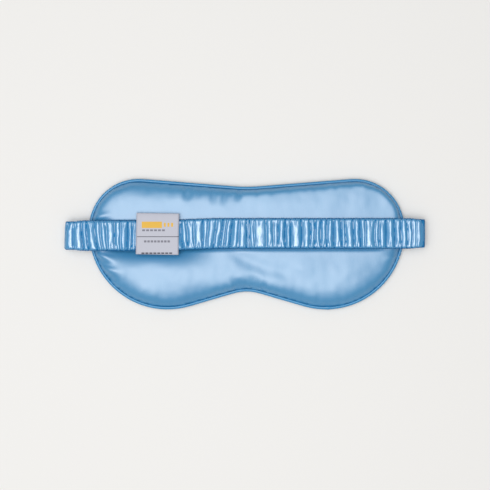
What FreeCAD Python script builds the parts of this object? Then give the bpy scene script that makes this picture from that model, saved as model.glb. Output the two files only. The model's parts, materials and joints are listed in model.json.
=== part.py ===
"""Padded silk eye mask with a ruched elastic head strap. Millimetres, +Z up.

The mask lies with its outer side down on z = 0. Its head strap is laid across the skin side,
folded over just beyond both ends of the mask. +X runs along the mask, +Y towards the brow.
The origin is under the middle of the whole object, on the surface that it rests on.
"""
import FreeCAD, Part
import math
import os

Vec = FreeCAD.Vector

# Outline of the mask, one half of it: the other half is its mirror image in X = 0
HALF_LENGTH = 105.0
BROW_DIP_Y = 38.25
BROW_DIP_R = 96.0
UPPER_CORNER = (72.0, 10.55)
UPPER_CORNER_R = 33.0
LOWER_LOBE = (52.7, 8.75)
LOWER_LOBE_R = 52.3
NOTCH_Y = -31.55
NOTCH_R = 30.0

# Pad
PAD_THICKNESS = 12.0
SEAM_Z = 5.0
PANEL_WALL = 0.4
PANEL_INSET = 2.05
TOP_EDGE_R = 5.0
BOTTOM_EDGE_R = 4.0
SEAM_ALLOWANCE = 6.0
FLANGE_T = 0.3
LAYER_GAP = 0.05
WADDING_GAP = 0.1
BLOCKING_T = 0.6

# Piping
PIPING_R = 1.0
PIPING_CORD_R = 0.65
PIPING_CORD_GAP = 0.05
PIPING_FLANGE_T = 0.2

# Threads
THREAD_T = 0.15
THREAD_W = 0.4
SEAM_THREAD_INSET = 3.2
CLOSING_STITCHES = 9
CLOSING_START = math.radians(-62.0)
CLOSING_STEP = math.radians(-3.2)
CLOSING_SIZE = (0.5, 1.7, 0.35)

# Head strap
STRAP_Y = 6.4
STRAP_W = 20.0
STRAP_T = 2.4
STRAP_WALL = 0.35
ELASTIC_GAP = 0.15
STRAP_CLEARANCE = 0.7
FOLD_X = 116.7
BODY_GAP = 0.3
LOWER_RUN_Z = SEAM_Z + PIPING_R + 0.1 + STRAP_T / 2
TAB_END_X = 97.0
POCKET_CLEARANCE = 0.25
GATHER_INSET = 1.2
TACK_X = 100.0
TACK_LENGTH = 17.0

# Label
LABEL_X = -58.6
LABEL_W = 28.0
LABEL_Y = (-6.9, 20.4)
LABEL_PLY = 0.2
LABEL_GAP = 0.25

UPPER_RUN_Z = PAD_THICKNESS + STRAP_CLEARANCE + STRAP_T / 2


def polar(centre, radius, angle):
    return Vec(centre[0] + radius * math.cos(angle), centre[1] + radius * math.sin(angle), 0)


def crossing_tangent(centre_a, radius_a, centre_b, radius_b, side):
    """Angle at circle a of the straight line that touches a and b on opposite sides."""
    dx = centre_b[0] - centre_a[0]
    dy = centre_b[1] - centre_a[1]
    opening = math.acos((radius_a + radius_b) / math.hypot(dx, dy))
    return math.atan2(dy, dx) + side * opening


def arc(centre, radius, start, end):
    middle = (start + end) / 2
    points = [polar(centre, radius, angle) for angle in (start, middle, end)]
    return Part.Arc(*points).toShape()


def outline(inset):
    """Closed wire of the mask's outline, moved inwards by inset."""
    dip = (0.0, BROW_DIP_Y + BROW_DIP_R)
    notch = (0.0, NOTCH_Y - NOTCH_R)
    dip_r = BROW_DIP_R + inset
    notch_r = NOTCH_R + inset
    corner_r = UPPER_CORNER_R - inset
    lobe_r = LOWER_LOBE_R - inset
    dip_end = crossing_tangent(dip, dip_r, UPPER_CORNER, corner_r, -1)
    lobe_end = crossing_tangent(notch, notch_r, LOWER_LOBE, lobe_r, 1)
    half = [
        arc(dip, dip_r, -math.pi / 2, dip_end),
        Part.makeLine(polar(dip, dip_r, dip_end), polar(UPPER_CORNER, corner_r, dip_end + math.pi)),
        arc(UPPER_CORNER, corner_r, dip_end + math.pi, 0),
        Part.makeLine(polar(UPPER_CORNER, corner_r, 0), polar(LOWER_LOBE, lobe_r, 0)),
        arc(LOWER_LOBE, lobe_r, 0, lobe_end - math.pi),
        Part.makeLine(polar(LOWER_LOBE, lobe_r, lobe_end - math.pi), polar(notch, notch_r, lobe_end)),
        arc(notch, notch_r, lobe_end, math.pi / 2),
    ]
    other_half = [edge.mirror(Vec(0, 0, 0), Vec(1, 0, 0)) for edge in half]
    return Part.Wire(Part.__sortEdges__(half + other_half))


def slab(inset, z_low, z_high):
    """Flat slab of the mask's shape."""
    wire = outline(inset)
    wire.translate(Vec(0, 0, z_low))
    return Part.Face(wire).extrude(Vec(0, 0, z_high - z_low))


def ring(inset, width, z_low, z_high):
    """Flat band that follows the outline."""
    return slab(inset, z_low, z_high).cut(slab(inset + width, z_low, z_high))


def rounded_slab(inset, z_flat, z_crown, radius):
    """Slab with the edge on its crown side rounded over; the other side stays flat at z_flat."""
    body = slab(inset, min(z_flat, z_crown), max(z_flat, z_crown))
    crown_edges = [edge for edge in body.Edges
                   if all(abs(vertex.Z - z_crown) < 1e-6 for vertex in edge.Vertexes)]
    return body.makeFillet(radius, crown_edges)


def strap_box(x_low, x_high, z_middle, shrink):
    """Straight stretch of strap section; shrink takes its skin in."""
    width = STRAP_W - 2 * shrink
    thick = STRAP_T - 2 * shrink
    corner = Vec(x_low, STRAP_Y - width / 2, z_middle - thick / 2)
    return Part.makeBox(x_high - x_low, width, thick, corner)


def pocket(side):
    """Room for a sewn-in strap end inside the pad."""
    low = min(side * (TAB_END_X - 1), side * HALF_LENGTH)
    width = STRAP_W + 2 * POCKET_CLEARANCE
    base_z = LOWER_RUN_Z - STRAP_T / 2 - POCKET_CLEARANCE / 2
    height = STRAP_T + 2 * POCKET_CLEARANCE + 0.3
    corner = Vec(low, STRAP_Y - width / 2, base_z)
    return Part.makeBox(HALF_LENGTH - TAB_END_X + 1, width, height, corner)


def cut_pockets(shape):
    for side in (-1, 1):
        shape = shape.cut(pocket(side))
    return shape


def make_panel(z_seam, z_crown, edge_r):
    """Sewn shell of one panel: its crown, its wall and the seam allowance turned inwards."""
    up = 1 if z_crown > z_seam else -1
    outer = rounded_slab(PANEL_INSET, z_seam, z_crown, edge_r)
    inner = rounded_slab(PANEL_INSET + PANEL_WALL, z_seam, z_crown - up * PANEL_WALL,
                         edge_r - PANEL_WALL)
    z_turned = z_seam + up * FLANGE_T
    allowance = ring(PANEL_INSET, SEAM_ALLOWANCE, min(z_seam, z_turned), max(z_seam, z_turned))
    return outer.cut(inner).fuse(allowance).removeSplitter()


def make_wadding(z_seam, z_crown, edge_r):
    up = 1 if z_crown > z_seam else -1
    inset = PANEL_WALL + WADDING_GAP
    z_start = z_seam + up * (FLANGE_T + 2 * LAYER_GAP + THREAD_T + 0.05)
    return rounded_slab(PANEL_INSET + inset, z_start, z_crown - up * inset, edge_r - inset)


def make_piping():
    """Cord of the piping and the bias strip round it, with its flange in the seam."""
    path = outline(PIPING_R)
    path.translate(Vec(0, 0, SEAM_Z))
    start = path.Edges[0].Vertexes[0].Point
    along = path.Edges[0].tangentAt(path.Edges[0].FirstParameter)

    def swept(radius):
        circle = Part.Wire(Part.makeCircle(radius, start, along))
        return path.makePipeShell([circle], True, True)

    cord = swept(PIPING_CORD_R)
    tube = swept(PIPING_R).cut(swept(PIPING_CORD_R + PIPING_CORD_GAP))
    flange_start = 2 * PIPING_R - 0.1
    flange = ring(flange_start, PANEL_INSET + SEAM_ALLOWANCE - flange_start,
                  SEAM_Z - PIPING_FLANGE_T / 2, SEAM_Z + PIPING_FLANGE_T / 2)
    return tube.fuse(flange), cord


def make_seam_thread():
    """Needle thread on the upper seam allowance and bobbin thread under the lower one."""
    allowance = PIPING_FLANGE_T / 2 + LAYER_GAP + FLANGE_T + LAYER_GAP
    upper = ring(SEAM_THREAD_INSET, THREAD_W, SEAM_Z + allowance, SEAM_Z + allowance + THREAD_T)
    lower = ring(SEAM_THREAD_INSET, THREAD_W, SEAM_Z - allowance - THREAD_T, SEAM_Z - allowance)
    return Part.makeCompound([upper, lower])


def make_closing_stitches():
    """Short hand stitches under the piping, along the lower right lobe."""
    width, height, depth = CLOSING_SIZE
    stitches = []
    for count in range(CLOSING_STITCHES):
        angle = CLOSING_START + count * CLOSING_STEP
        stitch = Part.makeBox(depth, width, height, Vec(-depth, -width / 2, -height))
        stitch.rotate(Vec(0, 0, 0), Vec(0, 0, 1), math.degrees(angle))
        place = polar(LOWER_LOBE, LOWER_LOBE_R - PANEL_INSET + depth + LAYER_GAP, angle)
        stitch.translate(Vec(place.x, place.y, SEAM_Z - PIPING_R - LAYER_GAP))
        stitches.append(stitch)
    return Part.makeCompound(stitches)


def folded_end(side, shrink, gap_to_run):
    """Sewn-in end: tab and lower run, fold, and a short stretch up to the level run."""
    width = STRAP_W - 2 * shrink
    thick = STRAP_T - 2 * shrink
    tab = strap_box(TAB_END_X + shrink, FOLD_X, LOWER_RUN_Z, shrink)
    centre_z = (LOWER_RUN_Z + UPPER_RUN_Z) / 2
    radius = (UPPER_RUN_Z - LOWER_RUN_Z) / 2
    axis_start = Vec(FOLD_X, STRAP_Y - width / 2, centre_z)
    outer = Part.makeCylinder(radius + thick / 2, width, axis_start, Vec(0, 1, 0))
    inner = Part.makeCylinder(radius - thick / 2, width, axis_start, Vec(0, 1, 0))
    half_space = Part.makeBox(20, width, 40, Vec(FOLD_X, STRAP_Y - width / 2, centre_z - 20))
    fold = outer.cut(inner).common(half_space)
    top = strap_box(FOLD_X - 2 + gap_to_run, FOLD_X, UPPER_RUN_Z, shrink)
    end = tab.fuse(fold).fuse(top).removeSplitter()
    return end if side > 0 else end.mirror(Vec(0, 0, 0), Vec(1, 0, 0))


def make_strap_ends():
    parts = {}
    for side, name in ((-1, "left"), (1, "right")):
        skin = folded_end(side, 0, 0)
        room = folded_end(side, STRAP_WALL, -2 * STRAP_WALL)
        parts["strap_cover_end_" + name] = skin.cut(room)
        elastic = folded_end(side, STRAP_WALL + ELASTIC_GAP, 0)
        parts["strap_elastic_end_" + name] = elastic
    return parts


def make_level_run():
    """Cover, elastic and gathering rows of the strap's run across the mask."""
    end_x = FOLD_X - 2 - BODY_GAP
    skin = strap_box(-end_x, end_x, UPPER_RUN_Z, 0)
    room = strap_box(-end_x - 1, end_x + 1, UPPER_RUN_Z, STRAP_WALL)
    elastic = strap_box(-end_x, end_x, UPPER_RUN_Z, STRAP_WALL + ELASTIC_GAP)
    top_z = UPPER_RUN_Z + STRAP_T / 2 + LAYER_GAP
    rows = []
    for edge in (-1, 1):
        row_y = STRAP_Y + edge * (STRAP_W / 2 - GATHER_INSET)
        rows.append(Part.makeBox(2 * end_x, THREAD_W, THREAD_T,
                                 Vec(-end_x, row_y - THREAD_W / 2, top_z)))
    return skin.cut(room), elastic, Part.makeCompound(rows)


def make_tacks():
    top_z = LOWER_RUN_Z + STRAP_T / 2 + LAYER_GAP
    tacks = [Part.makeBox(THREAD_W, TACK_LENGTH, THREAD_T,
                          Vec(side * TACK_X - THREAD_W / 2, STRAP_Y - TACK_LENGTH / 2, top_z))
             for side in (-1, 1)]
    return Part.makeCompound(tacks)


def make_label():
    """Ribbon looped round the strap, with room to slide along it."""
    length = LABEL_Y[1] - LABEL_Y[0]
    inner_low = UPPER_RUN_Z - STRAP_T / 2 - LABEL_GAP
    inner_high = UPPER_RUN_Z + STRAP_T / 2 + LAYER_GAP + THREAD_T + LABEL_GAP
    start = Vec(LABEL_X - LABEL_W / 2, LABEL_Y[0], inner_low - LABEL_PLY)
    loop = Part.makeBox(LABEL_W, length, inner_high - inner_low + 2 * LABEL_PLY, start)
    hollow_start = start + Vec(-1, LABEL_PLY, LABEL_PLY)
    hollow = Part.makeBox(LABEL_W + 2, length - 2 * LABEL_PLY, inner_high - inner_low, hollow_start)
    return loop.cut(hollow)


def make_parts():
    seam_up = SEAM_Z + PIPING_FLANGE_T / 2 + LAYER_GAP
    seam_down = SEAM_Z - PIPING_FLANGE_T / 2 - LAYER_GAP
    piping_cover, piping_cord = make_piping()
    strap_cover, strap_elastic, strap_stitching = make_level_run()
    parts = {
        "skin_side_panel": cut_pockets(make_panel(seam_up, PAD_THICKNESS, TOP_EDGE_R)),
        "outer_panel": make_panel(seam_down, 0.0, BOTTOM_EDGE_R),
        "wadding_skin_side": cut_pockets(make_wadding(seam_up, PAD_THICKNESS, TOP_EDGE_R)),
        "wadding_outer": make_wadding(seam_down, 0.0, BOTTOM_EDGE_R),
        "light_blocking_layer": slab(PANEL_INSET + SEAM_ALLOWANCE + WADDING_GAP,
                                     SEAM_Z - BLOCKING_T / 2, SEAM_Z + BLOCKING_T / 2),
        "piping_cover": piping_cover,
        "piping_cord": piping_cord,
        "seam_thread": make_seam_thread(),
        "closing_stitches": make_closing_stitches(),
        "strap_cover": strap_cover,
        "strap_elastic": strap_elastic,
        "strap_stitching": strap_stitching,
        "strap_tacks": make_tacks(),
        "label": make_label(),
    }
    parts.update(make_strap_ends())
    return parts


os.makedirs("parts", exist_ok=True)
for node, shape in make_parts().items():
    box = shape.BoundBox
    print(f"{node:26s} solids {len(shape.Solids)} valid {shape.isValid()} volume {shape.Volume:9.1f} "
          f"x {box.XMin:7.1f} {box.XMax:6.1f} y {box.YMin:6.1f} {box.YMax:5.1f} "
          f"z {box.ZMin:5.2f} {box.ZMax:5.2f}")
    shape.exportStep(os.path.join("parts", node + ".step"))
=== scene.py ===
# %% [markdown]
# # A padded silk eye mask
# The mask lies with its outer side down. Two satin panels with wadding between them are sewn
# together round a piped edge, and a gathered elastic strap is laid across the side that touches
# the face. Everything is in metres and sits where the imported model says, so the first cell loads
# that model and keeps its box.

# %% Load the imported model
import bisect
import json
import math
import random

import bmesh
import bpy
from mathutils import Matrix, Vector, kdtree, noise

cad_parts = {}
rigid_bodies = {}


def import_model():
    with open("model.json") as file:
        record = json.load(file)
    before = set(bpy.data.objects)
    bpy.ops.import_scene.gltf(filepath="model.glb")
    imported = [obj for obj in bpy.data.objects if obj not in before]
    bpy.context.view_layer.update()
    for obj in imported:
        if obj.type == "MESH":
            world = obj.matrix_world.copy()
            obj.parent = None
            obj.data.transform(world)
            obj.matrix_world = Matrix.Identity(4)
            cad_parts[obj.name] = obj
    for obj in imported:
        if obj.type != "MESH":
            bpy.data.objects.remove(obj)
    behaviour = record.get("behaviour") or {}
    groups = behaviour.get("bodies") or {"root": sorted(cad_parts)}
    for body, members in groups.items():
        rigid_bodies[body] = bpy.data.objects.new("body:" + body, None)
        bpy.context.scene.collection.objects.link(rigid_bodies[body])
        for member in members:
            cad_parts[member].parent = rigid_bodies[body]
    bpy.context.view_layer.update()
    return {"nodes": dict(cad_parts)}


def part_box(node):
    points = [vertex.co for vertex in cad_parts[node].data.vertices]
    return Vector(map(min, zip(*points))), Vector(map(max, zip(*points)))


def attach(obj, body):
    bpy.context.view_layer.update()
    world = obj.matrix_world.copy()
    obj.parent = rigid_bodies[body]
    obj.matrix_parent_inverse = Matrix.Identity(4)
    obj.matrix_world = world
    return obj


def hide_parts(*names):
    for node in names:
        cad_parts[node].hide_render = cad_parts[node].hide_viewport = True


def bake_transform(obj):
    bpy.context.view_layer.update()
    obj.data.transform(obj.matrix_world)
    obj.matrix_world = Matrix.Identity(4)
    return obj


for leftover in list(bpy.data.objects):
    bpy.data.objects.remove(leftover)
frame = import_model()
MM = 0.001


# %% [markdown]
# ## Reading sizes from the model
# Each measure is the difference between two sides of a part's box, so the looks keep to the model
# when it changes. A few small sizes, such as the thickness of satin, are named here instead.

# %% Sizes that the model gives
def side(node, axis, end):
    """One side of a node's box: axis 0, 1 or 2, and end 0 for its low side or 1 for its high."""
    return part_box(node)[end][axis]


half_length = side("piping_cover", 0, 1)
panel_inset = half_length - side("outer_panel", 0, 1)
piping_r = (side("piping_cover", 2, 1) - side("piping_cover", 2, 0)) / 2
seam_z = (side("piping_cover", 2, 1) + side("piping_cover", 2, 0)) / 2
pad_top = side("skin_side_panel", 2, 1)
strap_y = (side("strap_cover", 1, 0) + side("strap_cover", 1, 1)) / 2
strap_w = side("strap_cover", 1, 1) - side("strap_cover", 1, 0)
strap_t = side("strap_cover", 2, 1) - side("strap_cover", 2, 0)
run_z = (side("strap_cover", 2, 0) + side("strap_cover", 2, 1)) / 2
run_end = side("strap_cover", 0, 1)
fold_end = side("strap_cover_end_right", 0, 1)
lower_z = side("strap_cover_end_right", 2, 0) + strap_t / 2
tab_end = side("strap_cover_end_right", 0, 0)
print("half length", half_length, "strap", strap_w, "pad top", pad_top)


# %% [markdown]
# ## The floor, the light and the camera
# Satin shows its shape by what it mirrors. A broad soft light straight overhead makes the level
# cloth bright, and a dim horizon leaves the slopes dark, which is how a product is photographed on
# a light table. The camera looks straight down on the middle of the pad through a long lens.

# %% Studio
BACKDROP_COLOUR = (0.86, 0.85, 0.835, 1)
CAMERA_HEIGHT = 0.910
LENS = 100
AIM = (-1.1 * MM, -0.55 * MM)


def new_object(name, bm):
    mesh = bpy.data.meshes.new(name)
    bm.to_mesh(mesh)
    bm.free()
    obj = bpy.data.objects.new(name, mesh)
    bpy.context.collection.objects.link(obj)
    return obj


def area_light(name, place, size, power, colour=(1, 1, 1)):
    light = bpy.data.lights.new(name, "AREA")
    light.shape = "DISK"
    light.size = size
    light.energy = power
    light.color = colour
    lamp = bpy.data.objects.new(name, light)
    lamp.location = place
    lamp.rotation_euler = (-Vector(place)).to_track_quat("-Z", "Y").to_euler()
    bpy.context.collection.objects.link(lamp)


def studio():
    bm = bmesh.new()
    bmesh.ops.create_grid(bm, x_segments=1, y_segments=1, size=3)
    floor = new_object("floor", bm)
    finish = bpy.data.materials.new("floor")
    finish.use_nodes = True
    shader = finish.node_tree.nodes["Principled BSDF"]
    shader.inputs["Base Color"].default_value = BACKDROP_COLOUR
    shader.inputs["Roughness"].default_value = 0.9
    shader.inputs["Specular IOR Level"].default_value = 0.1
    floor.data.materials.append(finish)

    area_light("overhead", (-0.18, -0.09, 1.6), 1.8, 13.7)
    area_light("overhead_core", (-0.18, -0.09, 1.61), 0.8, 10.2, colour=(1, 0.985, 0.96))
    world = bpy.data.worlds.new("studio")
    world.use_nodes = True
    sky = world.node_tree.nodes["Background"]
    sky.inputs["Color"].default_value = (0.97, 0.99, 1, 1)
    sky.inputs["Strength"].default_value = 0.26
    bpy.context.scene.world = world

    camera = bpy.data.cameras.new("camera")
    camera.lens = LENS
    eye = bpy.data.objects.new("camera", camera)
    eye.location = (*AIM, CAMERA_HEIGHT)
    bpy.context.collection.objects.link(eye)
    bpy.context.scene.camera = eye
    bpy.context.scene.view_settings.view_transform = "Standard"


studio()


# %% [markdown]
# ## The outline of the mask
# The pad's outline comes from the model: the outer panel is cut by a level plane through its
# upright wall, and the longest loop of the cut is spaced out evenly. Smoothing takes away the
# small corners of the model's facets.

# %% Outline as an even loop of points
LOOP_STEP = 0.5 * MM
LOOP_SMOOTHING = 40


def cut_loops(node, height):
    """Loops of points where a level plane meets a node."""
    bm = bmesh.new()
    bm.from_mesh(frame["nodes"][node].data)
    bmesh.ops.remove_doubles(bm, verts=bm.verts, dist=1e-6)
    everything = bm.verts[:] + bm.edges[:] + bm.faces[:]
    bmesh.ops.bisect_plane(bm, geom=everything, dist=1e-7, plane_co=(0, 0, height),
                           plane_no=(0, 0, 1), clear_inner=True, clear_outer=True)
    bmesh.ops.remove_doubles(bm, verts=bm.verts, dist=1e-6)
    loops = []
    bm.verts.index_update()
    waiting = {vert.index: vert for vert in bm.verts}
    while waiting:
        loop = [waiting.pop(min(waiting))]
        while True:
            following = [edge.other_vert(loop[-1]) for edge in loop[-1].link_edges]
            following = [other for other in following if other.index in waiting]
            if not following:
                break
            loop.append(waiting.pop(following[0].index))
        loops.append([vert.co.xy.copy() for vert in loop])
    bm.free()
    return loops


def loop_length(loop):
    return sum((loop[i] - loop[i - 1]).length for i in range(len(loop)))


def spaced_out(loop, step):
    """The same closed loop with its points an even step apart."""
    total = loop_length(loop)
    count = round(total / step)
    spaced = []
    walked = 0.0
    target = 0.0
    for i, here in enumerate(loop):
        ahead = loop[(i + 1) % len(loop)]
        span = (ahead - here).length
        while target <= walked + span and len(spaced) < count:
            spaced.append(here.lerp(ahead, (target - walked) / max(span, 1e-9)))
            target += total / count
        walked += span
    return spaced


BELOW_SEAM = 0.7 * MM


def even_outline():
    """The outline, anticlockwise from the middle of the brow."""
    wall_z = seam_z - BELOW_SEAM
    loop = max(cut_loops("outer_panel", wall_z), key=loop_length)
    if sum(loop[i - 1].cross(loop[i]) for i in range(len(loop))) < 0:
        loop.reverse()
    brow = Vector((0.3 * MM, max(point.y for point in loop)))
    start = min(range(len(loop)), key=lambda i: (loop[i] - brow).length)
    loop = spaced_out(loop[start:] + loop[:start], LOOP_STEP)
    for _ in range(LOOP_SMOOTHING):
        loop = [(loop[i - 1] + loop[i] * 2 + loop[(i + 1) % len(loop)]) / 4 for i in range(len(loop))]
    return loop


outline = even_outline()
inward = []
for i in range(len(outline)):
    along = (outline[(i + 1) % len(outline)] - outline[i - 1]).normalized()
    inward.append(Vector((-along.y, along.x)))
outline_tree = kdtree.KDTree(len(outline))
for i, point in enumerate(outline):
    outline_tree.insert((point.x, point.y, 0), i)
outline_tree.balance()
print("outline", len(outline), "points,", round(loop_length(outline), 4), "m long")


def depth(x, y):
    """How far a place is inside the mask's outer edge, with the nearest point's number."""
    _, i, _ = outline_tree.find((x, y, 0))
    offset = Vector((x, y)) - outline[i]
    return offset.dot(inward[i]) + panel_inset, i


def edge_point(i, inset):
    """Point i of the outline, moved to lie inset from the mask's outer edge."""
    return outline[i] + inward[i] * (inset - panel_inset)


# %% [markdown]
# ## A tube laid along a route
# The piping, the strap's gathered cover and its elastic are all tubes. One helper makes a straight
# tube, cuts it into rings, and asks a placing function where each point goes. The function gets
# how far along the tube the point is, from 0 to 1, and its angle round the tube.

# %% Tube helper
def laid_tube(name, rings, around, place, closed=False, capped=False):
    bm = bmesh.new()
    bmesh.ops.create_cone(bm, cap_ends=capped, cap_tris=False, segments=around, radius1=1, radius2=1,
                          depth=1)
    long_edges = [edge for edge in bm.edges if abs(edge.verts[0].co.z - edge.verts[1].co.z) > 0.5]
    bmesh.ops.subdivide_edges(bm, edges=long_edges, cuts=rings - 1, use_grid_fill=True)
    for vert in bm.verts:
        vert.co = place(vert.co.z + 0.5, math.atan2(vert.co.y, vert.co.x))
    if closed:
        bmesh.ops.remove_doubles(bm, verts=bm.verts, dist=1e-6)
    bmesh.ops.recalc_face_normals(bm, faces=bm.faces)
    for face in bm.faces:
        face.smooth = True
    return new_object(name, bm)


def smooth_step(value, low, high):
    t = min(1.0, max(0.0, (value - low) / (high - low)))
    return t * t * (3 - 2 * t)


# %% [markdown]
# ## Satin
# Silk satin is smooth on the face: long threads float over the others and mirror light in a broad
# white glow over the deep colour of the dye. A high index of refraction gives the strong glow, a
# stretched noise gives the fine streaks of the floating threads, and a slow noise varies the dye.

# %% Cloth materials
CRISP_BLUE = (0.018, 0.272, 0.590)
LIGHT_BLUE = (0.024, 0.278, 0.556)
MID_BLUE = (0.012, 0.226, 0.500)
# painted shade: the deep blue that the valleys between the strap's folds are darkened towards
PAINTED_SHADE_BLUE = (0.003, 0.115, 0.320)
SATIN_IOR = 1.88
BIAS_IOR = 1.5
# lower gloss for the shaded copy of the strap satin between the folds: painted shade
SHADE_IOR = 1.2


def shader_of(name, colour, roughness, sheen=0.0):
    finish = bpy.data.materials.new(name)
    finish.use_nodes = True
    shader = finish.node_tree.nodes["Principled BSDF"]
    shader.inputs["Base Color"].default_value = (*colour, 1)
    shader.inputs["Roughness"].default_value = roughness
    shader.inputs["Sheen Weight"].default_value = sheen
    return finish, shader


def stretched_noise(nodes, links, stretch, scale, detail=2.0):
    """Noise on the object's own coordinates, stretched by a different amount on each axis."""
    place = nodes.new("ShaderNodeTexCoord")
    mapping = nodes.new("ShaderNodeMapping")
    mapping.inputs["Scale"].default_value = stretch
    pattern = nodes.new("ShaderNodeTexNoise")
    pattern.inputs["Scale"].default_value = scale
    pattern.inputs["Detail"].default_value = detail
    links.new(place.outputs["Object"], mapping.inputs["Vector"])
    links.new(mapping.outputs["Vector"], pattern.inputs["Vector"])
    return pattern


def satin(name, light, dark, roughness, glow, streak, streak_depth, hollow=None):
    """An optional mesh attribute, 1 deep between the folds, darkens the colour there towards a deep blue
    as painted shade and makes the satin rougher.
    """
    finish, shader = shader_of(name, light, roughness)
    shader.inputs["IOR"].default_value = glow
    shader.inputs["Specular IOR Level"].default_value = 1.0
    nodes = finish.node_tree.nodes
    links = finish.node_tree.links
    dye = stretched_noise(nodes, links, (1, 0.7, 1), 70, detail=8)
    dye.inputs["Roughness"].default_value = 0.75
    blend = nodes.new("ShaderNodeMix")
    blend.data_type = "RGBA"
    blend.inputs["A"].default_value = (*dark, 1)
    blend.inputs["B"].default_value = (*light, 1)
    links.new(dye.outputs["Fac"], blend.inputs["Factor"])
    colour = blend.outputs["Result"]
    # Painted shade: between the strap's folds the colour is mixed towards the deep blue, and the roughness
    # rises there.
    if hollow:
        where = nodes.new("ShaderNodeAttribute")
        where.attribute_name = hollow
        painted_shade_mix = nodes.new("ShaderNodeMix")
        painted_shade_mix.data_type = "RGBA"
        painted_shade_mix.inputs["B"].default_value = (*PAINTED_SHADE_BLUE, 1)
        links.new(where.outputs["Fac"], painted_shade_mix.inputs["Factor"])
        links.new(colour, painted_shade_mix.inputs["A"])
        colour = painted_shade_mix.outputs["Result"]
        dull = nodes.new("ShaderNodeMapRange")
        dull.inputs["To Min"].default_value = roughness
        dull.inputs["To Max"].default_value = 0.6
        links.new(where.outputs["Fac"], dull.inputs["Value"])
        links.new(dull.outputs["Result"], shader.inputs["Roughness"])
    links.new(colour, shader.inputs["Base Color"])
    threads = stretched_noise(nodes, links, streak, 1.0)
    bump = nodes.new("ShaderNodeBump")
    bump.inputs["Strength"].default_value = 0.35
    bump.inputs["Distance"].default_value = streak_depth
    links.new(threads.outputs["Fac"], bump.inputs["Height"])
    links.new(bump.outputs["Normal"], shader.inputs["Normal"])
    return finish


panel_satin = satin("panel satin", LIGHT_BLUE, MID_BLUE, 0.50, SATIN_IOR, (1800, 220, 1800), 0.00006)
piping_satin = satin("piping satin", LIGHT_BLUE, MID_BLUE, 0.42, BIAS_IOR, (900, 900, 900), 0.00005)
strap_satin = satin("strap satin", CRISP_BLUE, LIGHT_BLUE, 0.38, SATIN_IOR, (300, 1500, 1500), 0.00004,
                    hollow="hollow")
# A shaded copy of the strap satin, rougher and with less gloss, for the faces between the folds: painted
# shade.
painted_shade_satin = satin("strap satin with painted fold shade", CRISP_BLUE, LIGHT_BLUE, 0.5, SHADE_IOR,
                    (300, 1500, 1500), 0.00004, hollow="hollow")


def plain_cloth(name, colour, grain, roughness=0.85):
    finish, shader = shader_of(name, colour, roughness, sheen=0.3)
    nodes = finish.node_tree.nodes
    links = finish.node_tree.links
    fibres = stretched_noise(nodes, links, (1, 1, 1), grain, detail=4)
    bump = nodes.new("ShaderNodeBump")
    bump.inputs["Strength"].default_value = 0.6
    bump.inputs["Distance"].default_value = 0.0002
    links.new(fibres.outputs["Fac"], bump.inputs["Height"])
    links.new(bump.outputs["Normal"], shader.inputs["Normal"])
    return finish


wadding_finish = plain_cloth("wadding fibre", (0.88, 0.88, 0.87), 900)
interlining_finish = plain_cloth("dark interlining", (0.02, 0.02, 0.025), 2500)
cord_finish = plain_cloth("cotton cord", (0.85, 0.82, 0.75), 2500)
elastic_finish = plain_cloth("braided elastic", (0.86, 0.86, 0.86), 3000)
thread_finish = plain_cloth("sewing thread", (0.30, 0.56, 0.80), 4000, 0.6)


# %% [markdown]
# ## The pad
# A flat pair of panels is inflated by a cloth simulation, the way wadding fills a sewn mask. The
# panels are cut a little larger than the seam that holds them, so the spare cloth arches in the
# middle and puckers along the edge. The simulation runs at ten times life size, because the cloth
# solver is made for garments, and the result is scaled back.

# %% Flat panels
CELL = 2.0 * MM
SEAM_INSET = 1.5 * MM
SIM_SCALE = 10.0


def flat_panel():
    """A level grid trimmed to the seam line, with its rim moved exactly on to it."""
    reach_x = half_length
    reach_y = max(abs(point.y) for point in outline) + panel_inset
    bm = bmesh.new()
    bmesh.ops.create_grid(bm, x_segments=round(2 * reach_x / CELL), y_segments=round(2 * reach_y / CELL),
                          size=1)
    bmesh.ops.scale(bm, vec=(reach_x, reach_y, 1), verts=bm.verts)
    outside = [vert for vert in bm.verts if depth(vert.co.x, vert.co.y)[0] < SEAM_INSET + 0.45 * CELL]
    bmesh.ops.delete(bm, geom=outside, context="VERTS")
    rim = [vert for vert in bm.verts if vert.is_boundary]
    for vert in rim:
        _, i = depth(vert.co.x, vert.co.y)
        place = edge_point(i, SEAM_INSET)
        vert.co = (place.x, place.y, 0)
    near_rim = [vert for vert in bm.verts
                if not vert.is_boundary and depth(vert.co.x, vert.co.y)[0] < SEAM_INSET + 4 * CELL]
    for _ in range(12):
        bmesh.ops.smooth_vert(bm, verts=near_rim, factor=0.5, use_axis_x=True, use_axis_y=True,
                              use_axis_z=False)
    return bm


def sewn_pair():
    """Two copies of the flat panel, joined at their rims and slightly parted."""
    bm = flat_panel()
    rim_edges = [edge for edge in bm.edges if edge.is_boundary]
    lower = bmesh.ops.duplicate(bm, geom=bm.verts[:] + bm.edges[:] + bm.faces[:])["geom"]
    lower_verts = {vert for vert in lower if isinstance(vert, bmesh.types.BMVert)}
    lower_faces = [face for face in lower if isinstance(face, bmesh.types.BMFace)]
    bmesh.ops.reverse_faces(bm, faces=lower_faces)
    for vert in bm.verts:
        inside = max(0.0, depth(vert.co.x, vert.co.y)[0] - SEAM_INSET)
        parted = 0.25 * min(inside, 12 * MM)
        parted += 0.15 * MM * noise.noise(vert.co * 400) * min(1, inside / (3 * MM))
        vert.co.z = seam_z + (-parted if vert in lower_verts else parted)
    bmesh.ops.remove_doubles(bm, verts=bm.verts, dist=1e-5)
    return bm


# %% Inflate the pair
SPARE_CLOTH = 0.018
PRESSURE = 5.0
SIM_FRAMES = 30


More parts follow.
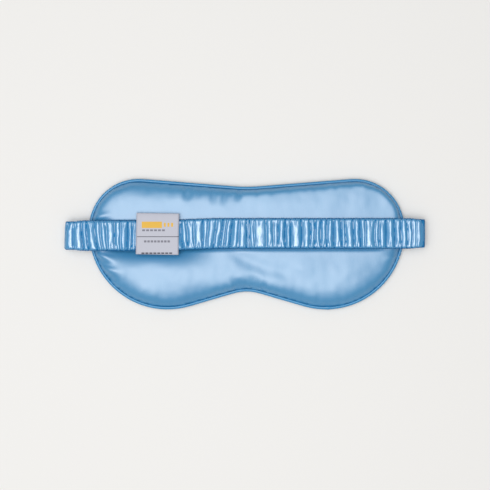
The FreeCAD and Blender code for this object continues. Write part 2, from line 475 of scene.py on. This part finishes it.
def calm_middle(mesh):
    """Level the long wrinkles away from the seam, keep the short puckers beside it, and mark the
    seam as a sharp edge."""
    bm = bmesh.new()
    bm.from_mesh(mesh)
    for reach, rounds in ((5 * MM, 4), (9 * MM, 12), (14 * MM, 30)):
        inner = [vert for vert in bm.verts if depth(vert.co.x, vert.co.y)[0] > reach]
        for _ in range(rounds):
            bmesh.ops.smooth_vert(bm, verts=inner, factor=0.5, use_axis_x=False, use_axis_y=False,
                                  use_axis_z=True)
    sharp = bm.edges.layers.float.new("crease_edge")
    for edge in bm.edges:
        if all(depth(vert.co.x, vert.co.y)[0] < SEAM_INSET + 0.3 * MM for vert in edge.verts):
            edge[sharp] = 1.0
    bm.to_mesh(mesh)
    bm.free()


def finer(mesh):
    """The same surface with every face cut in four, ready for narrow creases."""
    rough = bpy.data.objects.new("rough_pad", mesh)
    bpy.context.collection.objects.link(rough)
    smooth = rough.modifiers.new("smooth", "SUBSURF")
    smooth.levels = 1
    smooth.render_levels = 1
    bpy.context.view_layer.update()
    shape = rough.evaluated_get(bpy.context.evaluated_depsgraph_get())
    result = bpy.data.meshes.new_from_object(shape)
    bpy.data.objects.remove(rough)
    return result


def inflated_pad():
    pad = new_object("pad_sim", sewn_pair())
    pad.data.transform(Matrix.Scale(SIM_SCALE, 4))
    seam = pad.vertex_groups.new(name="seam")
    limit = SEAM_INSET + 0.3 * MM
    held = [vert.index for vert in pad.data.vertices
            if depth(vert.co.x / SIM_SCALE, vert.co.y / SIM_SCALE)[0] < limit]
    seam.add(held, 1.0, "REPLACE")
    cloth = pad.modifiers.new("inflate", "CLOTH")
    cloth.settings.quality = 6
    cloth.settings.mass = 0.2
    cloth.settings.tension_stiffness = 20
    cloth.settings.compression_stiffness = 20
    cloth.settings.shear_stiffness = 8
    cloth.settings.bending_stiffness = 1.5
    cloth.settings.use_pressure = True
    cloth.settings.uniform_pressure_force = PRESSURE
    cloth.settings.shrink_min = -SPARE_CLOTH
    cloth.settings.vertex_group_mass = "seam"
    cloth.settings.effector_weights.gravity = 0
    cloth.collision_settings.use_collision = False
    cloth.point_cache.frame_start = 1
    cloth.point_cache.frame_end = SIM_FRAMES
    scene = bpy.context.scene
    for step in range(1, SIM_FRAMES + 1):
        scene.frame_set(step)
    shape = pad.evaluated_get(bpy.context.evaluated_depsgraph_get())
    result = bpy.data.meshes.new_from_object(shape)
    scene.frame_set(1)
    result.transform(Matrix.Scale(1 / SIM_SCALE, 4))
    bpy.data.objects.remove(pad)
    calm_middle(result)
    result = finer(result)
    heights = [vert.co.z for vert in result.vertices]
    print("inflated", len(result.vertices), "points, z", min(heights), max(heights))
    return result


# %% [markdown]
# ## From the simulation to the two panels
# Wadding stops the panels well before the air in the simulation would: the crown is eased down to
# the pad's thickness, and the outer side is pressed flat by the table. Then come the marks that
# sewing leaves: short puckers where the piping was gathered in, and creases where the strap pulls.

# %% Ease the crown and add the puckers
CROWN_EASE = 7.1 * MM
EDGE_STEEPNESS = 2.5
TABLE_EASE = 1.0 * MM


def eased_flat(height, limit, ease):
    """Height that stops smoothly at a limit."""
    start = limit - ease
    if height < start:
        return height
    return start + ease * (1 - math.exp(-(height - start) / ease))


def crease(place, start, end, width):
    """How strongly a crease from start to end shows at a place: 1 on its line, 0 away from it."""
    along = end - start
    t = (place - start).dot(along) / along.length_squared
    if t < -0.15 or t > 1:
        return 0.0
    off = (place - start - along * t).length
    taper = smooth_step(t, -0.15, 0.25) * (1 - smooth_step(t, 0.3, 1.0))
    return taper * math.exp(-((off / (width * (0.6 + 1.2 * t))) ** 2))


SEAM_CREASES = (
    ((-102, -6.0), (-84, -11.5), 1.5, 1.5),
    ((-100.5, -9.5), (-86, -16.5), 1.1, -1.2),
    ((-98.5, -15.0), (-80, -20.0), 1.8, 1.5),
    ((-96, -19.5), (-82, -27.0), 1.4, -1.2),
    ((-92, -25.0), (-80, -30.0), 1.6, 0.8),
    ((-103, 17.5), (-86, 20.5), 1.5, 1.1),
    ((-103, 14.8), (-84, 15.6), 1.2, -1.0),
    ((102.5, -8.0), (88, -10.5), 1.5, 0.7),
    ((100, -16.0), (87, -21.0), 1.6, 0.6),
)


def crease_list():
    """Start, end, width and height of each crease on the skin side."""
    creases = []
    for start, end, width, height in SEAM_CREASES:
        creases.append((Vector(start) * MM, Vector(end) * MM, width * MM, height * MM))
    rng = random.Random(4)
    for i in range(len(outline)):
        x, y = outline[i]
        gathered = y > 0 and -46 * MM < x < -4 * MM
        notch = y < 0 and -9 * MM < x < 13 * MM
        if (gathered and i % 9 == 0) or (notch and i % 7 == 0):
            start = edge_point(i, SEAM_INSET)
            reach = rng.uniform(8, 16) * MM
            swing = Vector((rng.uniform(-0.2, 0.2), 0))
            creases.append((start, start + (inward[i] + swing) * reach, rng.uniform(1.2, 2.0) * MM,
                            rng.uniform(-1.3, 0.3) * MM))
    return creases


PRESSED_DEPTH = 6.2 * MM
PRESSED_LOW = 6.6 * MM       # how far the valley lies below the strap's middle
PRESSED_WIDTH = 8.3 * MM
BED_DEPTH = 1.1 * MM
LEAST_RISE = 1.3 * MM        # room for the wadding where the panel is pressed deepest


def pressed(x, y):
    """Where the strap and label press a valley into the left half, from 0 to 1."""
    along = smooth_step(x, -100 * MM, -80 * MM) * (1 - smooth_step(x, -50 * MM, -14 * MM))
    return along * math.exp(-(((y - strap_y + PRESSED_LOW) / PRESSED_WIDTH) ** 2))


def strap_bed(x, y):
    """Where the strap's whole length beds into the wadding, from 0 to 1."""
    along = 1 - smooth_step(abs(x), 84 * MM, 98 * MM)
    above = 1 - smooth_step(y - strap_y, 6.5 * MM, 10.0 * MM)
    below = 1 - smooth_step(strap_y - y, 9.0 * MM, 11.6 * MM)
    return along * above * below


DENTS = (
    (Vector((-10, -5)) * MM, Vector((30, -30)) * MM, 5.5 * MM, 0.7 * MM),
    (Vector((2, -12)) * MM, Vector((72, -33)) * MM, 6 * MM, 0.65 * MM),
)


LUMP_HEIGHT = 0.60 * MM
FINE_LUMP_HEIGHT = 0.12 * MM
LOW_UNDER_STRAP = 0.3 * MM
BROW_STEEPNESS = 1.4
UPPER_RIGHT_STEEPNESS = 5.0
NOSE_STEEPNESS = 1.8


def shape_panels(mesh):
    creases = crease_list()
    for vert in mesh.vertices:
        height = vert.co.z - seam_z
        inside = depth(vert.co.x, vert.co.y)[0] - SEAM_INSET
        if height > 0:
            lumps = LUMP_HEIGHT * noise.noise(Vector((vert.co.x * 65, vert.co.y * 65, 1.0)))
            lumps += FINE_LUMP_HEIGHT * noise.noise(Vector((vert.co.x * 190, vert.co.y * 150, 5.0)))
            kept_low = 1 - smooth_step(abs(vert.co.y - strap_y), 12 * MM, 24 * MM)
            lumps = lumps * (1 - 0.6 * kept_low) - LOW_UNDER_STRAP * kept_low
            upper_right = smooth_step(vert.co.x, -30 * MM, 40 * MM)
            upper_right *= smooth_step(vert.co.y, 5 * MM, 25 * MM)
            nose = 1 - smooth_step(abs(vert.co.x), 8 * MM, 34 * MM)
            nose *= smooth_step(-vert.co.y, 8 * MM, 24 * MM)
            steepness = EDGE_STEEPNESS + BROW_STEEPNESS * smooth_step(vert.co.y, 0, 25 * MM)
            steepness += UPPER_RIGHT_STEEPNESS * upper_right
            steepness += NOSE_STEEPNESS * nose
            vert.co.z = seam_z + CROWN_EASE * math.tanh(steepness * height / CROWN_EASE)
            here = vert.co.xy
            marks = creases if inside < 24 * MM else ()
            risen = lumps
            risen += sum(crease(here, start, end, width) * tall for start, end, width, tall in marks)
            soft = sum(crease(here, start, end, width) * deep for start, end, width, deep in DENTS)
            vert.co.z += (risen - soft) * smooth_step(inside, 0, 2 * MM)
            unpressed = vert.co.z
            sunk = unpressed - PRESSED_DEPTH * pressed(vert.co.x, vert.co.y)
            sunk -= BED_DEPTH * strap_bed(vert.co.x, vert.co.y)
            vert.co.z = max(sunk, min(unpressed, seam_z + LEAST_RISE))
        else:
            vert.co.z = seam_z - eased_flat(-height, seam_z, TABLE_EASE)


pad_mesh = inflated_pad()
shape_panels(pad_mesh)


# %% Part the pair into the skin-side and outer panels
SATIN_THICKNESS = 0.25 * MM


def panel_piece(name, upper):
    """One panel of the pair, with the cloth's thickness."""
    bm = bmesh.new()
    bm.from_mesh(pad_mesh)
    other = [face for face in bm.faces if (face.calc_center_median().z > seam_z) != upper]
    bmesh.ops.delete(bm, geom=other, context="FACES")
    for face in bm.faces:
        face.smooth = True
    piece = new_object(name, bm)
    cloth = piece.modifiers.new("cloth thickness", "SOLIDIFY")
    cloth.thickness = SATIN_THICKNESS
    cloth.offset = -1
    piece.data.materials.append(panel_satin)
    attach(piece, "mask")
    return piece


skin_panel = panel_piece("skin_side_satin", True)
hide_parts("skin_side_panel")
outer_panel = panel_piece("outer_satin", False)
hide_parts("outer_panel")


# %% [markdown]
# ## Inside the pad
# Two layers of wadding lie under the panels. Each is made from its own panel: the panel's inner
# part is copied, drawn in a little, and given a level back towards the seam.

# %% Wadding
WADDING_INSET = 4 * MM
WADDING_DROP = 0.6 * MM
WADDING_BACK = 0.4 * MM
WADDING_LEAST = 0.1 * MM


def wadding_piece(name, upper, node):
    bm = bmesh.new()
    bm.from_mesh(pad_mesh)
    up = 1 if upper else -1
    outside = [vert for vert in bm.verts if (vert.co.z - seam_z) * up <= 0
               or depth(vert.co.x, vert.co.y)[0] < WADDING_INSET]
    bmesh.ops.delete(bm, geom=outside, context="VERTS")
    for vert in bm.verts:
        rise = (vert.co.z - seam_z) * up - WADDING_DROP
        vert.co.z = seam_z + up * max(rise, WADDING_BACK + WADDING_LEAST)
    back = bmesh.ops.extrude_face_region(bm, geom=bm.faces[:])["geom"]
    for vert in back:
        if isinstance(vert, bmesh.types.BMVert):
            vert.co.z = seam_z + up * WADDING_BACK
    bmesh.ops.recalc_face_normals(bm, faces=bm.faces)
    piece = new_object(name, bm)
    piece.data.materials.append(wadding_finish)
    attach(piece, "mask")
    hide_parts(node)
    return piece


wadding_piece("wadding_skin_side_fibre", True, "wadding_skin_side")
wadding_piece("wadding_outer_fibre", False, "wadding_outer")


# %% [markdown]
# ## Piping
# The piping is a bias strip of satin folded round a thin cord and caught in the seam. It is a tube
# laid on the outline. It is pulled in a little at each stitch, and its ends overlap in a small bump
# at the lower right.

# %% Piping
PIPING_AROUND = 12
PUCKER_PITCH = 3.1 * MM
JOIN_X = 54 * MM
PIPING_TILT = 0.35


def piping_place(along, angle):
    count = len(outline)
    exact = (along % 1.0) * count
    i = int(exact) % count
    here = edge_point(i, piping_r).lerp(edge_point((i + 1) % count, piping_r), exact - int(exact))
    metres = along * count * LOOP_STEP
    gathered = 0.5 + 0.5 * noise.noise(Vector((here.x * 25, here.y * 25, 3.0)))
    pucker = abs(math.sin(math.pi * metres / PUCKER_PITCH)) ** 0.7
    radius = piping_r * (0.90 + 0.10 * pucker * gathered)
    if here.y < 0:
        radius *= 1 + 0.22 * math.exp(-(((here.x - JOIN_X) / (1.6 * MM)) ** 2))
    lift = 0.18 * MM * noise.noise(Vector((here.x * 60, here.y * 60, 0.0)))
    out = -inward[i] * math.cos(angle) * radius
    height = math.sin(angle) - PIPING_TILT * math.cos(angle)
    return Vector((here.x + out.x, here.y + out.y, seam_z + lift + height * radius))


piping = laid_tube("piping", len(outline), PIPING_AROUND, piping_place, closed=True)
piping.data.materials.append(piping_satin)
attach(piping, "mask")
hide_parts("piping_cover")


# %% [markdown]
# ## The strap's route
# The strap leaves the side seam under the run that crosses the mask, turns back on itself in a fold
# beyond the pad, and crosses level. The route is a list of points in the plane of X and Z, walked
# at an even pace. The strap also drifts a little in Y, as a soft strap does when it is laid down.

# %% Route
FOLD_DROOP = 1.3 * MM
ROUTE_STEP = 0.4 * MM
DROOP_FROM = 0.90
FOLD_SQUARENESS = 0.75


def half_route(trim):
    """Points from the middle of the level run out to the right, round the fold and into the seam.
    The fold stops short of the model's by trim, which leaves room for the gathers outside it."""
    fold_top = run_z - FOLD_DROOP
    fold_low = lower_z - 0.3 * MM
    radius = (fold_top - fold_low) / 2
    centre_x = fold_end - strap_t / 2 - radius - trim
    points = []
    droop_x = half_length * DROOP_FROM
    for i in range(200):
        x = centre_x * i / 200
        points.append(Vector((x, run_z - FOLD_DROOP * smooth_step(x, droop_x, centre_x + 4 * MM))))
    for i in range(40):
        angle = math.pi / 2 - math.pi * i / 40
        reach = radius * math.copysign(abs(math.cos(angle)) ** FOLD_SQUARENESS, math.cos(angle))
        rise = radius * math.copysign(abs(math.sin(angle)) ** FOLD_SQUARENESS, math.sin(angle))
        points.append(Vector((centre_x + reach, fold_low + radius + rise)))
    for i in range(41):
        points.append(Vector((centre_x, fold_low)).lerp(Vector((tab_end + 4 * MM, lower_z - 0.6 * MM)),
                                                        i / 40))
    return points


def whole_route():
    right = half_route(2.7 * MM)
    left = [Vector((-point.x, point.y)) for point in half_route(1.0 * MM)]
    route = left[:0:-1] + right
    spaced = [route[0]]
    carried = 0.0
    for i in range(1, len(route)):
        span = (route[i] - route[i - 1]).length
        while carried + span >= ROUTE_STEP:
            part = (ROUTE_STEP - carried) / span
            spaced.append(route[i - 1].lerp(route[i], part) if part < 1 else route[i])
            route[i - 1] = spaced[-1]
            span = (route[i] - route[i - 1]).length
            carried = 0.0
        carried += span
    return spaced


route = whole_route()
print("strap length", round(len(route) * ROUTE_STEP, 4), "m")


def drift(x):
    """How far the laid strap strays in Y."""
    return (-0.75 + 1.4 * smooth_step(x, -62 * MM, -14 * MM)) * MM


def on_route(index, across, rise):
    """A place on the strap: at a point of the route, across its width and out of its plane."""
    i = min(max(index, 0), len(route) - 1)
    before = route[max(i - 1, 0)]
    after = route[min(i + 1, len(route) - 1)]
    along = (after - before).normalized()
    base = route[i]
    x = base.x - along.y * rise
    return Vector((x, strap_y + drift(base.x) + across, base.y + along.x * rise))


# %% [markdown]
# ## The gathered cover
# A satin tube 1.4 times as long as the elastic is gathered on to it, so it stands in folds across
# the strap. Valleys are drawn at uneven distances, with a slant that changes slowly, and the cloth
# stands up in a leaning hump between two of them. Short pleats start at the stitched edges and die
# out towards the middle, as gathered cloth does, and the cloth beyond the stitches is a narrow frill.

# %% Folds
FOLD_HEIGHT = {1: 1.45 * MM, -1: 0.7 * MM}
ROW_AT = 0.93
HALF_THICK = 0.55 * MM
FRILL_PITCH = 1.7 * MM
LAID_WIDTH = 19.7 * MM
rng = random.Random(11)


def draw_folds(length):
    """Valleys across the strap, each with its place, its bow, and the lean and fullness of the fold
    that follows it, and short pleats, each with its place, slant, width and strength at the two edges."""
    valleys = []
    pleats = []
    place = -6 * MM
    while place < length + 6 * MM:
        bow = rng.uniform(-0.9, 0.9) * MM
        lean = rng.uniform(0.65, 1.5)
        valleys.append((place, bow, lean, rng.uniform(0.36, 0.95)))
        gap = rng.choice((2.6, 3.2, 3.7, 4.3, 4.9, 5.6, 6.8)) * MM
        for _ in range(rng.choice((0, 1, 1)) if gap < 4 * MM else 1):
            low, high = rng.choice(((0.75, 0.0), (0.0, 0.75), (0.6, 0.5)))
            pleats.append((place + gap * rng.uniform(0.25, 0.75), rng.uniform(-0.5, 0.5) * MM,
                           rng.uniform(0.35, 0.6) * MM, low, high))
        place += gap
    return valleys, sorted(pleats)


strap_length = len(route) * ROUTE_STEP
folds_of = {face: draw_folds(strap_length) for face in (1, -1)}
valley_places = {face: [valley[0] for valley in folds_of[face][0]] for face in folds_of}
pleat_places = {face: [pleat[0] for pleat in folds_of[face][1]] for face in folds_of}


def slant(place, v):
    """How far a valley is moved along the strap at v: neighbours lean much the same way."""
    return 2.8 * MM * v * noise.noise(Vector((place * 36, 1.0, 4.0)))


def fold_height(metres, v, face):
    """Height of the folds on one face of the strap, from 0 in a valley to 1 on a crest."""
    valleys, pleats = folds_of[face]
    middle = bisect.bisect_right(valley_places[face], metres)
    near = valleys[max(0, middle - 3):middle + 3]
    lines = [(place + slant(place, v) + bow * (1 - v * v), *fold) for place, bow, *fold in near]
    before = max((line for line in lines if line[0] <= metres), default=lines[0])
    after = min((line for line in lines if line[0] > metres), default=lines[-1])
    gap = max(after[0] - before[0], 0.5 * MM)
    t = min(1.0, max(0.0, (metres - before[0]) / gap)) ** before[1]
    height = math.sin(math.pi * t) ** before[2] * min(1.0, gap / (4.5 * MM)) ** 0.7
    height *= 1 - 0.25 * abs(v) ** 3
    first = bisect.bisect_left(pleat_places[face], metres - 2.5 * MM)
    final = bisect.bisect_right(pleat_places[face], metres + 2.5 * MM)
    for place, tilt, width, low, high in pleats[first:final]:
        strength = high * smooth_step(v, 0.35, 0.85) + low * smooth_step(-v, 0.35, 0.85)
        height *= 1 - strength * math.exp(-abs(metres - place - tilt * v) / width)
    return height


def cover_place(along, angle):
    """A point of the gathered tube."""
    exact = along * (len(route) - 1)
    i = round(exact)
    metres = exact * ROUTE_STEP
    v = math.cos(angle)
    face = 1 if math.sin(angle) >= 0 else -1
    height = fold_height(metres, v, face)
    edge = abs(v)
    pinch = math.exp(-(((edge - ROW_AT) / 0.055) ** 2))
    fine = math.sin(2 * math.pi * metres / FRILL_PITCH + 2.1 * noise.noise(Vector((metres * 300, 0, v))))
    frill = smooth_step(edge, 0.92, 1.0)
    wander = noise.noise(Vector((metres * 700, v * 3, face * 5.0)))
    flat = (1 - edge ** 20) ** 0.5
    rise = HALF_THICK * flat * (1 - 0.25 * pinch)
    rise += FOLD_HEIGHT[face] * height * (1 - frill) * flat
    rise += 0.14 * MM * (1 + fine) * smooth_step(edge, 0.72, 0.88) * flat
    rise += 0.13 * MM * wander * (1 - frill)
    calm = smooth_step(metres, 0, 9 * MM) * (1 - smooth_step(metres, strap_length - 9 * MM, strap_length))
    calm *= 1 - 0.85 * smooth_step(route[i].x, fold_end - 8 * MM, fold_end - 5 * MM)
    rise *= 0.35 + 0.65 * calm
    half_w = LAID_WIDTH / 2 + (0.15 * fine + 0.35 * height) * MM * smooth_step(edge, 0.8, 1.0)
    half_w *= 1 - 0.07 * smooth_step(abs(route[i].x), half_length + 2 * MM, half_length + 10 * MM)
    lean = noise.noise(Vector((metres * 260, v * 1.5, 7.0)))
    shift = lean * height * 0.6 * MM * (1 - frill)
    place = on_route(i, v * half_w, face * rise)
    ahead = on_route(min(i + 1, len(route) - 1), v * half_w, face * rise)
    behind = on_route(max(i - 1, 0), v * half_w, face * rise)
    direction = (ahead - behind).normalized()
    return place + direction * (shift + (exact - i) * ROUTE_STEP)


# %% Cut the cover at the joint
COVER_AROUND = 64


def split_points():
    """Ring numbers where the strap is cut: at both ends of the level run and in its middle."""
    upper = [n for n, point in enumerate(route) if point.y > (run_z + lower_z) / 2]
    left = min(upper, key=lambda n: abs(route[n].x + run_end))
    right = min(upper, key=lambda n: abs(route[n].x - run_end))
    middle = min(upper, key=lambda n: abs(route[n].x))
    return left, middle, right


left_cut, middle_cut, right_cut = split_points()
last = len(route) - 1
STRETCHES = {
    "end_left": (0, left_cut),
    "left": (left_cut, middle_cut),
    "right": (middle_cut, right_cut),
    "end_right": (right_cut, last),
}


def stretch_of_tube(name, first, final, around, place):
    """A tube laid on part of the route, so that neighbours meet ring for ring."""
    share = (final - first) / last
    begin = first / last

    def placed(along, angle):
        return place(begin + along * share, angle)

    return laid_tube(name, final - first, around, placed)


def mark_hollows(cover, first, final):
    """Store how deep each point lies between the folds, where the satin gets painted shade."""
    layer = cover.data.attributes.new("hollow", "FLOAT", "POINT")
    tree = kdtree.KDTree(final - first + 1)
    for n in range(first, final + 1):
        tree.insert(on_route(n, 0, 0), n)
    tree.balance()
    for vert in cover.data.vertices:
        _, n, _ = tree.find((vert.co.x, strap_y + drift(vert.co.x), vert.co.z))
        v = max(-1.0, min(1.0, (vert.co.y - strap_y - drift(vert.co.x)) / (LAID_WIDTH / 2)))
        rise = (vert.co - on_route(n, v * LAID_WIDTH / 2, 0)).length
        layer.data[vert.index].value = 0.95 * (1 - smooth_step(rise, 0.52 * MM, 1.12 * MM))


def carry(piece, stretch):
    """Ends ride on the mask; the halves of the level run keep their places, baked into their meshes."""
    if stretch.startswith("end"):
        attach(piece, "mask")
        return
    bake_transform(piece)


for stretch, (first, final) in STRETCHES.items():
    cover = stretch_of_tube("gathered_cover_" + stretch, first, final, COVER_AROUND, cover_place)
    cover.data.materials.append(strap_satin)
    cover.data.materials.append(painted_shade_satin)
    mark_hollows(cover, first, final)
    # Painted shade: faces deep between the folds take the shaded copy of the satin.
    hollow = cover.data.attributes["hollow"].data
    for face in cover.data.polygons:
        if sum(hollow[i].value for i in face.vertices) > 0.45 * len(face.vertices):
            face.material_index = 1
    carry(cover, stretch)
    node = "strap_cover_" + stretch if stretch.startswith("end") else "strap_cover"
    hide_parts(node)


# %% [markdown]
# ## Elastic
# The flat elastic inside the cover follows the same route, and is cut at the same places.

# %% Elastic
ELASTIC_HALF_W = 8.0 * MM
ELASTIC_HALF_T = 0.45 * MM


def elastic_place(along, angle):
    exact = along * (len(route) - 1)
    i = round(exact)
    across = ELASTIC_HALF_W * math.copysign(abs(math.cos(angle)) ** 0.5, math.cos(angle))
    rise = ELASTIC_HALF_T * math.copysign(abs(math.sin(angle)) ** 0.5, math.sin(angle))
    return on_route(i, across, rise)


for stretch, (first, final) in STRETCHES.items():
    elastic = stretch_of_tube("elastic_" + stretch, first, final, 16, elastic_place)
    elastic.data.materials.append(elastic_finish)
    carry(elastic, stretch)
    node = "strap_elastic_" + stretch if stretch.startswith("end") else "strap_elastic"
    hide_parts(node)


# %% [markdown]
# ## Stitches
# A stitch is a short soft bar of thread. One helper lays many of them, each turned to its own
# direction, and the gathering rows, the bar tacks and the closing stitches all use it.

# %% Stitch helper
def stitches(name, places, length, thick, body=None):
    """places is a list of (middle, direction) pairs."""
    bm = bmesh.new()
    for middle, direction in places:
        turn = direction.to_track_quat("X", "Z").to_matrix().to_4x4()
        size = Matrix.Diagonal((length / 2, thick / 2, thick / 2, 1))
        bmesh.ops.create_icosphere(bm, subdivisions=1, radius=1,
                                   matrix=Matrix.Translation(middle) @ turn @ size)
    for face in bm.faces:
        face.smooth = True
    piece = new_object(name, bm)
    piece.data.materials.append(thread_finish)
    if body:
        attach(piece, body)
    return piece


# %% Gathering rows, bar tacks and closing stitches
GATHER_STITCH = 2.4 * MM
for stretch, (first, final) in STRETCHES.items():
    places = []
    pitch = round(3 * MM / ROUTE_STEP)
    for i in range(first + pitch // 2, final - 2, pitch):
        direction = on_route(i + 1, 0, 0) - on_route(i - 1, 0, 0)
        for across in (-ROW_AT, ROW_AT):
            for face in (-1, 1):
                places.append((on_route(i, across * strap_w / 2, face * 0.62 * MM), direction))
    row = stitches("gathering_rows_" + stretch, places, GATHER_STITCH, 0.25 * MM)
    carry(row, stretch)
    if not stretch.startswith("end"):
        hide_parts("strap_stitching")

tack_places = []
for out in (-1, 1):
    for n in range(12):
        y = strap_y - strap_w * 0.4 + strap_w * 0.8 * n / 11
        tack_places.append((Vector((out * (tab_end + 5 * MM), y, seam_z + 0.3 * MM)), Vector((0.3, 1, 0))))
tacks = stitches("strap_tack_stitches", tack_places, 1.8 * MM, 0.3 * MM, "mask")
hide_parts("strap_tacks")

seam_places = []
for i in range(0, len(outline), round(3 * MM / LOOP_STEP)):
    place = edge_point(i, 2.9 * MM)
    along = Vector((-inward[i].y, inward[i].x, 0))
    for rise in (-0.45 * MM, 0.45 * MM):
        seam_places.append((Vector((place.x, place.y, seam_z + rise)), along))
seam = stitches("seam_stitches", seam_places, 2.5 * MM, 0.25 * MM, "mask")
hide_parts("seam_thread")

closing_places = []
low = side("closing_stitches", 0, 0)
high = side("closing_stitches", 0, 1)
lower_lobe = [i for i, point in enumerate(outline) if point.y < 0 and low < point.x < high]
for i in lower_lobe[::round(2.6 * MM / LOOP_STEP)]:
    place = edge_point(i, SEAM_INSET + 0.2 * MM)
    slope = inward[i] * 0.8 + Vector((inward[i].y, -inward[i].x)) * 0.6
    closing_places.append((Vector((place.x, place.y, seam_z - 1.05 * MM)),
                           Vector((slope.x, slope.y, -0.9))))
closing = stitches("closing_hand_stitches", closing_places, 1.9 * MM, 0.3 * MM, "mask")
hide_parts("closing_stitches")


# %% [markdown]
# ## Label
# A printed satin ribbon is looped round the strap. It is a flat loop with two tight folds, a little
# wavy, and it slides along the strap with its body. The print is plain bars and broken lines.

# %% Label loop
label_low, label_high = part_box("label")
LABEL_CLOTH = 0.18 * MM
LABEL_LOFT = 0.75 * MM
LABEL_TURN = 0.018


def label_place(along, angle):
    turn = -angle
    half_y = (label_high.y - label_low.y) / 2 - LABEL_CLOTH
    half_z = (label_high.z - label_low.z + LABEL_LOFT) / 2 - LABEL_CLOTH
    flatness = 0.16
    swing_share = math.cos(turn)
    y = (label_low.y + label_high.y) / 2 + half_y * math.copysign(abs(swing_share) ** 0.7, swing_share)
    bend = math.copysign(abs(math.sin(turn)) ** flatness, math.sin(turn))
    z = (label_low.z + label_high.z + LABEL_LOFT) / 2 + half_z * bend
    x = label_low.x + (label_high.x - label_low.x) * along
    wave = 0.12 * MM * noise.noise(Vector((x * 90, y * 120, 2.0 + z * 200)))
    middle = (label_low + label_high) / 2
    turned_x = x + LABEL_TURN * (y - middle.y)
    turned_y = y - LABEL_TURN * (x - middle.x)
    return Vector((turned_x, turned_y, z + wave * (1 if z > run_z else 0.3)))


def label_piece():
    """The loop, with UV coordinates in centimetres: across the ribbon, and down from the top fold."""
    loop = laid_tube("printed_label", 24, 72, label_place)
    uv = loop.data.uv_layers.new(name="ribbon")
    for corner in loop.data.loops:
        co = loop.data.vertices[corner.vertex_index].co
        fallen_by = label_high.y - co.y
        down = fallen_by if co.z > run_z else (label_high.y - label_low.y) * 2 - fallen_by
        uv.data[corner.index].uv = ((co.x - label_low.x) * 100, down * 100)
    cloth = loop.modifiers.new("cloth thickness", "SOLIDIFY")
    cloth.thickness = LABEL_CLOTH
    cloth.offset = 1
    return loop


# %% Label print
def print_bar(nodes, links, across, down):
    """1 inside a rectangle of the ribbon, given in centimetres, and 0 outside it."""
    where = nodes.new("ShaderNodeUVMap")
    where.uv_map = "ribbon"
    parts = nodes.new("ShaderNodeSeparateXYZ")
    links.new(where.outputs["UV"], parts.inputs["Vector"])
    tests = []
    for axis, (start, end) in (("X", across), ("Y", down)):
        test = nodes.new("ShaderNodeMath")
        test.operation = "COMPARE"
        test.inputs[1].default_value = (start + end) / 2
        test.inputs[2].default_value = (end - start) / 2
        links.new(parts.outputs[axis], test.inputs[0])
        tests.append(test)
    both = nodes.new("ShaderNodeMath")
    both.operation = "MULTIPLY"
    links.new(tests[0].outputs[0], both.inputs[0])
    links.new(tests[1].outputs[0], both.inputs[1])
    return both.outputs[0]


def label_finish():
    finish, shader = shader_of("label ribbon", (0.62, 0.63, 0.72), 0.5, sheen=0.2)
    nodes = finish.node_tree.nodes
    links = finish.node_tree.links
    colour = None
    ground = (0.48, 0.49, 0.57, 1)
    gold = (0.74, 0.42, 0.015, 1)
    ink = (0.07, 0.07, 0.10, 1)
    grey = (0.16, 0.16, 0.21, 1)
    bars = [((0.37, 1.70), (0.56, 0.98), gold)]
    bars += [((1.82 + 0.24 * n, 1.95 + 0.24 * n), (0.64, 0.90), gold) for n in range(3)]
    bars += [((0.40 + 0.26 * n, 0.59 + 0.26 * n), (1.07, 1.19), grey) for n in range(6)]
    bars += [((0.05, 2.80), (1.525, 1.575), ink)]
    bars += [((0.52 + 0.22 * n, 0.68 + 0.22 * n), (1.79, 1.93), grey) for n in range(8)]
    bars += [((0.35 + 0.26 * n, 0.55 + 0.26 * n), (2.58, 2.68), ink) for n in range(8)]
    for across, down, tint in bars:
        mix = nodes.new("ShaderNodeMix")
        mix.data_type = "RGBA"
        if colour is None:
            mix.inputs["A"].default_value = ground
        else:
            links.new(colour, mix.inputs["A"])
        mix.inputs["B"].default_value = tint
        links.new(print_bar(nodes, links, across, down), mix.inputs["Factor"])
        colour = mix.outputs["Result"]
    links.new(colour, shader.inputs["Base Color"])
    weave = stretched_noise(nodes, links, (2600, 900, 900), 1.0)
    bump = nodes.new("ShaderNodeBump")
    bump.inputs["Strength"].default_value = 0.3
    bump.inputs["Distance"].default_value = 0.00005
    links.new(weave.outputs["Fac"], bump.inputs["Height"])
    links.new(bump.outputs["Normal"], shader.inputs["Normal"])
    return finish


label = label_piece()
label.data.materials.append(label_finish())
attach(label, "label")
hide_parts("label")


# %% [markdown]
# ## Parts that keep their model shape
# The dark interlining and the cord inside the piping are hidden in the pad. The model's shapes are
# right for them, so they only get their finishes.

# %% Finishes for the kept parts
for node, finish in (("light_blocking_layer", interlining_finish), ("piping_cord", cord_finish)):
    mesh = frame["nodes"][node].data
    mesh.materials.clear()
    mesh.materials.append(finish)
